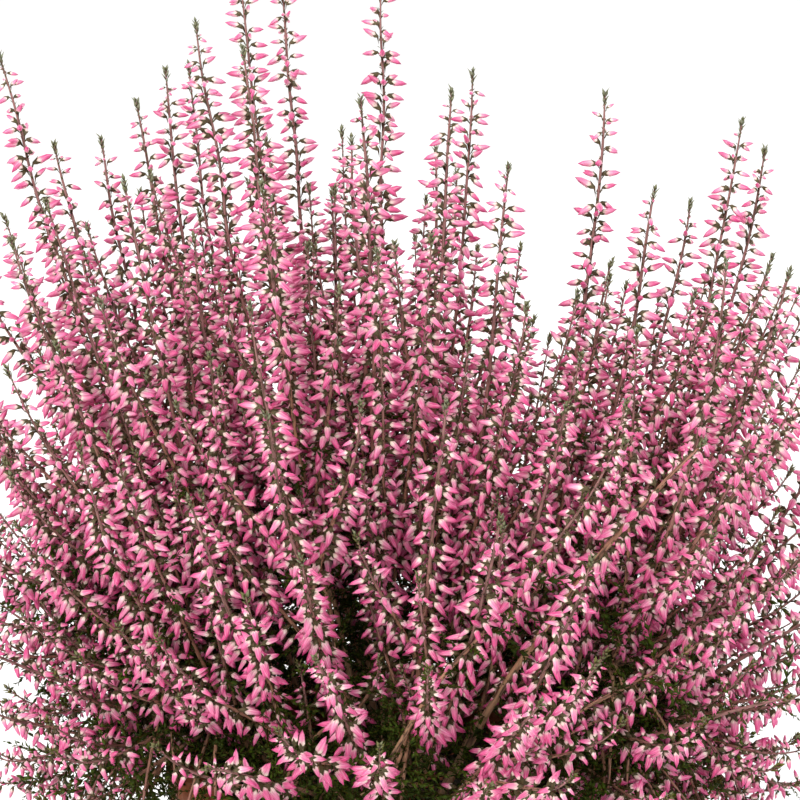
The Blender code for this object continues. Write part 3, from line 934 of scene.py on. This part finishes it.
shares = np.linspace(0.0, 1.0, TWIG_STEPS + 1)
arch = np.stack([-TWIG_DROOP * shares ** 2, TWIG_SWAY * np.sin(4 * shares), TWIG_LENGTH * shares], 1)
twig_base = lines_object("twig_line", [arch], {
    "leaf_size": ramp(shares, (0.0, 0.6), (0.3, 1.0), (1.0, 0.55)), "thickness": TWIG_RADIUS * (1.2 - shares),
    "hang": 0 * shares, "ripeness": 0 * shares, "youth": 0.02 + 0 * shares})
rod = grown("twig_rod", twig_base, wood, Sides=3, Shades=1.0, Seed=1, Map="skin", Finish=leaf_finish)
rows = grown("twig_leaves", twig_base, organs, Organ=leaf, Seed=5, Finish=leaf_finish, **TWIG_LEAVES)
joined = bmesh.new()
joined.from_mesh(rod)
joined.from_mesh(rows)
rod.clear_geometry()
joined.to_mesh(rod)
joined.free()
twig = placed("one_twig", rod)
print("a twig has", triangles(rod), "triangles")

# %% [markdown]
# ## Growing the plant
# Now each crown's lines get their wood, and then their organs in turn. A cup and its bud share
# a seed and all their numbers, so that they land in the same place.

# %% How the organs stand
# Each is the scale leaves' way of standing with changes
BUD_PLACING = dict(LEAF_PLACING, Sizes="bud_size", Spacing=0.94 * MM, Whorl=4.0, Whorl_turn=0.62, Lean=0.26,
                   Lean_spread=0.58, Hang=0.95, Turn_spread=0.85, Size=1.05, Size_spread=0.21, Stand_off=0.9,
                   Shade_shift=0.0, Shade_spread=0.46)
TIP_PLACING = dict(LEAF_PLACING, Sizes="tip_size", Spacing=0.4 * MM, Lean=1.0, Lean_spread=0.15, Size=1.3, Gaps=0.0,
                   Shade_shift=0.0)
TWIG_PLACING = dict(LEAF_PLACING, Sizes="twig_size", Spacing=2.7 * MM, Whorl=3.0, Whorl_turn=0.8, Gather=0.0,
                    Lean=0.45, Lean_spread=0.6, Hang=0.15, Turn_spread=0.8, Size_spread=0.35)
# What grows on a stem: the end of the piece's name, its slot, the organ, its finish, its placing, and
# what is added to the crown's seed
ORGANS = (
    ("flower_buds", "flower_buds", bud, sepal_finish, BUD_PLACING, 0),
    ("bud_cups", "heather_leaves", cup, cup_finish, BUD_PLACING, 0),
    ("scale_leaves", "heather_leaves", leaf, leaf_finish, LEAF_PLACING, 10),
    ("growing_tips", "heather_leaves", leaf, tip_finish, TIP_PLACING, 20),
    ("leafy_twigs", "heather_leaves", twig, twig_finish_with_painted_shade, TWIG_PLACING, 30),
)


# %% Every crown's pieces
def piece(name, mesh, slot, *nodes):
    """A finished piece: it rides on the one body, and stands for the CAD nodes that it is given."""
    made = placed(name, mesh)
    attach(made, "root")
    if nodes:
        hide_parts(*nodes)
    print(name, "has", triangles(mesh), "triangles")


for seed, (crown, lines) in enumerate(crown_lines.items()):
    piece(crown + "_woody_stems", grown("wood", lines, wood, Sides=STEM_SIDES, Shades=float(SHADES), Seed=seed,
                                        Map=MAP, Finish=bark_finish),
          "woody_stems", *[m["node"] for m in mains if m["crown"] == crown])
    for what, slot, one, finish, placing, salt in ORGANS:
        if crown != "leafy_shoot" or placing is not BUD_PLACING:
            piece(f"{crown}_{what}", grown(what, lines, organs, Organ=one, Seed=seed + salt, Finish=finish, **placing),
                  slot)

# %% [markdown]
# ## The clay pot
# The photograph's edge cuts the pot off, so it is the plain one that such a plant stands in: a
# tapering wall, a rim band, a rounded lip and four drain holes. It was pressed on a turning
# wheel, so one profile is turned round the axis, and the holes are then cut through its foot.

# %% Turning a profile
POT_HEIGHT = 115.0 * MM
POT_TOP_RADIUS = 66.0 * MM
POT_FOOT_RADIUS = 44.0 * MM
BAND_HEIGHT = 24.0 * MM
BAND_STEP = 3.0 * MM
POT_WALL = 6.0 * MM
POT_FLOOR = 8.0 * MM
LIP_ROUNDING = 2.5 * MM
FOOT_ROUNDING = 3.0 * MM
INNER_ROUNDING = 2.0 * MM
BAND_ROUNDINGS = (1.2 * MM, 1.0 * MM)  # the band's lower edge, and the corner under it
HOLES = 4
HOLE_RADIUS = 5.0 * MM
HOLES_FROM_AXIS = 24.0 * MM
POT_STEPS = 128
HOLE_STEPS = 24


def wall_radius(height):
    """The tapering wall's outer radius at a height."""
    return POT_FOOT_RADIUS + (POT_TOP_RADIUS - BAND_STEP - POT_FOOT_RADIUS) * height / POT_HEIGHT


def arc(across, up, radius, start, end, steps=5):
    """Points along an arc of the profile, as (distance from the axis, height), between two angles in degrees."""
    turns = [math.radians(start + (end - start) * k / steps) for k in range(steps + 1)]
    return [(across + radius * math.cos(t), up + radius * math.sin(t)) for t in turns]


def turned(name, profile, steps):
    """A closed skin from a profile, turned round the Z axis. Its first and last points are on the axis."""
    shape = bmesh.new()
    rings = [[shape.verts.new(p) for p in ring_at(height, [radius] * (steps if radius > 0 else 1))]
             for radius, height in profile]
    for low, high in zip(rings, rings[1:]):
        for k in range(steps):
            ring = [low[k % len(low)], low[(k + 1) % len(low)], high[(k + 1) % len(high)], high[k % len(high)]]
            shape.faces.new(list(dict.fromkeys(ring)))
    return mesh_of(name, shape)


# %% The pot's profile and its drain holes
band_foot = POT_HEIGHT - BAND_HEIGHT
under_band, into_wall = BAND_ROUNDINGS
lip_top = POT_HEIGHT - LIP_ROUNDING
pot_profile = [
    (0.0, POT_FLOOR),
    *arc(wall_radius(POT_FLOOR) - POT_WALL - INNER_ROUNDING, POT_FLOOR + INNER_ROUNDING, INNER_ROUNDING, -90, 0),
    *arc(wall_radius(POT_HEIGHT) - POT_WALL + LIP_ROUNDING, lip_top, LIP_ROUNDING, 180, 90),
    *arc(POT_TOP_RADIUS - LIP_ROUNDING, lip_top, LIP_ROUNDING, 90, 0),
    *arc(POT_TOP_RADIUS - into_wall - under_band, band_foot + under_band, under_band, 0, -90),
    *arc(wall_radius(band_foot) + into_wall, band_foot - into_wall, into_wall, 90, 180, 3),
    *arc(POT_FOOT_RADIUS - FOOT_ROUNDING, FOOT_ROUNDING, FOOT_ROUNDING, 0, -90),
    (0.0, 0.0),
]
pot_body = placed("pot_body", turned("pot_body", pot_profile, POT_STEPS))
drills = []
for k in range(HOLES):
    turn = WHOLE_TURN * (k + 0.5) / HOLES
    drill = turned("drill", [(0.0, -POT_FLOOR), (HOLE_RADIUS, -POT_FLOOR), (HOLE_RADIUS, 2 * POT_FLOOR),
                             (0.0, 2 * POT_FLOOR)], HOLE_STEPS)
    drill.transform(Matrix.Translation((HOLES_FROM_AXIS * math.cos(turn), HOLES_FROM_AXIS * math.sin(turn), 0.0)))
    drills.append(placed("drill", drill))
    cut = pot_body.modifiers.new("drain_hole", "BOOLEAN")
    cut.operation, cut.solver, cut.object = "DIFFERENCE", "EXACT", drills[-1]
pot_mesh = plain_mesh(pot_body)
pot_mesh.shade_smooth()
pot_mesh.set_sharp_from_angle(angle=math.radians(50))

# %% [markdown]
# ## The finish of the pot
# Terracotta is fired clay without a glaze: matt and porous. The kiln leaves darker and paler
# clouds on it, the wheel leaves fine lines round it, and where water dries out through the
# wall, lime stays behind as a pale bloom, most of all at the foot and under the rim.

# %% Terracotta
WHEEL_LINE = 1.3 * MM
WAVES_PER_UNIT = 10 / math.pi  # the wave pattern has so many waves in a length of 1 at scale 1
KILN_CLOUD = 26.0 * MM
GRIT = 0.8 * MM
WHEEL_RELIEF = 0.15 * MM


def terracotta():
    """Fired terracotta: matt orange-brown with kiln clouds, lime bloom, wheel lines and grit."""
    made, node = new_finish("fired_terracotta")
    place = node("TexCoord").outputs["Object"]
    height = node("SeparateXYZ", place).outputs["Z"]
    clouds = node("TexNoise", place, Scale=1 / KILN_CLOUD, Detail=4.0)
    clay = node("ValToRGB", clouds, stops=((0.3, "#a55f3e"), (0.5, "#b56c47"), (0.72, "#c27c55")))
    bloom = node("TexNoise", place, Scale=1 / (0.3 * KILN_CLOUD), Detail=10.0, Roughness=0.65)
    for start, full, most in ((0.05, 0.0, 0.16), (0.084, 0.092, 0.07)):
        more = node("MapRange", height, From_Min=start, From_Max=full, To_Min=0.0, To_Max=most)
        bloom = node("Math ADD", bloom, more)
    limed = over(node, clay, bloom, 0.58, 0.86, 0.62, "#d9c3ae")
    grit = node("TexNoise", place, Scale=1 / GRIT, Detail=2.0)
    specked = over(node, limed, grit, 0.62, 0.72, 0.5, "#7d452e")
    lines = node("TexWave", place, Scale=1 / WAVES_PER_UNIT / WHEEL_LINE, Distortion=1.2, Detail=2.0,
                 Detail_Scale=0.6, bands_direction="Z")
    relief = node("Math MULTIPLY_ADD", lines, 0.45, grit)
    bump = node("Bump", Strength=0.35, Distance=WHEEL_RELIEF, Height=relief)
    return finished(made, Base_Color=specked, Normal=bump, Roughness=0.86)


pot_mesh.materials.clear()
pot_mesh.materials.append(terracotta())
piece("terracotta_pot", pot_mesh, "terracotta", "clay_pot")

# %% [markdown]
# ## The soil
# Heather is potted in dark, fibrous peat. Its surface is uneven, and loose crumbs and fallen,
# dried leaves lie on it. The plug is a turned shape with its top pushed up and down by noise,
# and one Geometry Nodes tree scatters first the crumbs and then the dry leaves over it.

# %% The plug of soil
SOIL_STEPS = 96
SOIL_RINGS = 28
SOIL_BUMP = 1.1 * MM
SOIL_CLEARANCE = 0.4 * MM
SOIL_EDGE_DROP = 2.6 * MM
SOIL_UNDER = 0.3 * MM
SOIL_WAVES = 90  # above this height, in mm, the surface is uneven
SOIL_GRAIN = 0.35

soil_foot = POT_FLOOR + SOIL_UNDER
soil_side = wall_radius(POT_FLOOR) - POT_WALL - SOIL_CLEARANCE
soil_edge = wall_radius(SOIL_TOP - 2 * MM) - POT_WALL - SOIL_CLEARANCE
soil_profile = [(0.0, soil_foot), (soil_side - INNER_ROUNDING, soil_foot), (soil_side, soil_foot + INNER_ROUNDING)]
soil_profile += [(soil_edge * r, SOIL_TOP - SOIL_EDGE_DROP * r ** 8) for r in np.linspace(1.0, 0.0, SOIL_RINGS)]
soil_mesh = turned("soil", soil_profile, SOIL_STEPS)
for vertex in soil_mesh.vertices:
    x, y, z = vertex.co / MM
    inside = 1.0 - (math.hypot(x, y) * MM / soil_edge) ** 12
    if z > SOIL_WAVES and inside > 0:
        wave = math.sin(0.31 * x + 1.7) * math.sin(0.27 * y) + 0.6 * math.sin(0.9 * x + 0.5 * y) * math.sin(0.8 * y)
        vertex.co.z += (0.45 * wave + random.uniform(-SOIL_GRAIN, SOIL_GRAIN)) * SOIL_BUMP * inside
soil_mesh.shade_smooth()


# %% The tree that scatters grains
def scatter_tree():
    """Stands copies of a grain at random places on the surfaces that look up, turned every way."""
    tree, node, given = new_tree("grains_over_soil", Object="Grain", Float="Per area, Smallest, Largest, Lift",
                                 Int="Seed", Material="Finish")
    facing = node("SeparateXYZ", node("InputNormal")).outputs["Z"]
    looks_up = node("Compare GREATER_THAN", facing, 0.6)
    places = node("DistributePointsOnFaces", Mesh=given["Geometry"], Selection=looks_up,
                  Density=given["Per area"], Seed=given["Seed"]).outputs["Points"]
    lifted = node("SetPosition", places, Offset=node("CombineXYZ", Z=given["Lift"]))
    turn = node("RandomValue", Min=(-0.6, -0.6, 0.0), Max=(0.6, 0.6, WHOLE_TURN), Seed=given["Seed"],
                data_type="FLOAT_VECTOR")
    size = node("RandomValue", Min=given["Smallest"], Max=given["Largest"], Seed=given["Seed"])
    grain = node("ObjectInfo", given["Grain"]).outputs["Geometry"]
    ended(node, given, node("InstanceOnPoints", Points=lifted, Instance=grain, Rotation=turn, Scale=size))
    return tree


def flecked(name, roughness, fleck, *stops):
    """A matt finish whose colour changes from grain to grain, and a relief of the same size."""
    made, node = new_finish(name)
    place = node("TexCoord").outputs["Object"]
    grains = node("TexNoise", place, Scale=1 / fleck, Detail=6.0, Roughness=0.6)
    colour = node("ValToRGB", grains, stops=stops)
    bump = node("Bump", Strength=0.8, Distance=0.3 * fleck, Height=grains)
    return finished(made, Base_Color=colour, Normal=bump, Roughness=roughness)


# %% Crumbs and fallen leaves
CRUMB_RADIUS = 0.9 * MM
CRUMB_SPREAD = (0.75, 1.15)
CRUMB_FLATNESS = 0.7
CRUMBS = dict(Per_area=130000.0, Smallest=0.5, Largest=1.7, Lift=0.3 * MM, Seed=3)  # so many on a square metre
DRY_LEAVES = dict(Per_area=70000.0, Smallest=0.8, Largest=1.8, Lift=1.1 * MM, Seed=4)

peat = flecked("damp_fibrous_peat", 0.92, 1.6 * MM, (0.3, "#17100b"), (0.5, "#2d2018"), (0.68, "#4a3526"))
crumb_peat = flecked("loose_peat_crumb", 0.9, 2.4 * MM, (0.34, "#1d140e"), (0.52, "#3a291d"), (0.7, "#614a36"))
dry_leaf = flecked("dried_heather_leaf", 0.7, 3.0 * MM, (0.34, "#5a2c1a"), (0.5, "#8a4a2b"), (0.66, "#b98a58"))

crumb_shape = bmesh.new()
bmesh.ops.create_icosphere(crumb_shape, subdivisions=1, radius=CRUMB_RADIUS)
for vertex in crumb_shape.verts:
    vertex.co *= random.uniform(*CRUMB_SPREAD)
    vertex.co.z *= CRUMB_FLATNESS
crumb = placed("crumb", mesh_of("crumb", crumb_shape))
dry_leaf_mesh = leaf.data.copy()
dry_leaf_mesh.transform(Matrix.Rotation(math.radians(90), 4, "Y"))
fallen = placed("fallen_leaf", dry_leaf_mesh)
soil_base = placed("soil_base", soil_mesh)
scatter = scatter_tree()
crumbs = grown("crumbs", soil_base, scatter, Grain=crumb, Finish=crumb_peat, **CRUMBS)
fallen_leaves = grown("fallen_leaves", soil_base, scatter, Grain=fallen, Finish=dry_leaf, **DRY_LEAVES)
soil_mesh.materials.append(peat)
piece("peat_soil", soil_mesh, "potting_soil", "potting_soil")
piece("peat_crumbs", crumbs, "potting_soil")
piece("fallen_dry_leaves", fallen_leaves, "heather_leaves")

# %% [markdown]
# ## What only helped to make the pieces goes.
# The visible plant may stand only a little proud of the CAD model.

# %% Clearing away the helpers
for helper in [bud, cup, leaf, twig, twig_base, *crown_lines.values(), pot_body, *drills, crumb, fallen, soil_base]:
    bpy.data.objects.remove(helper)
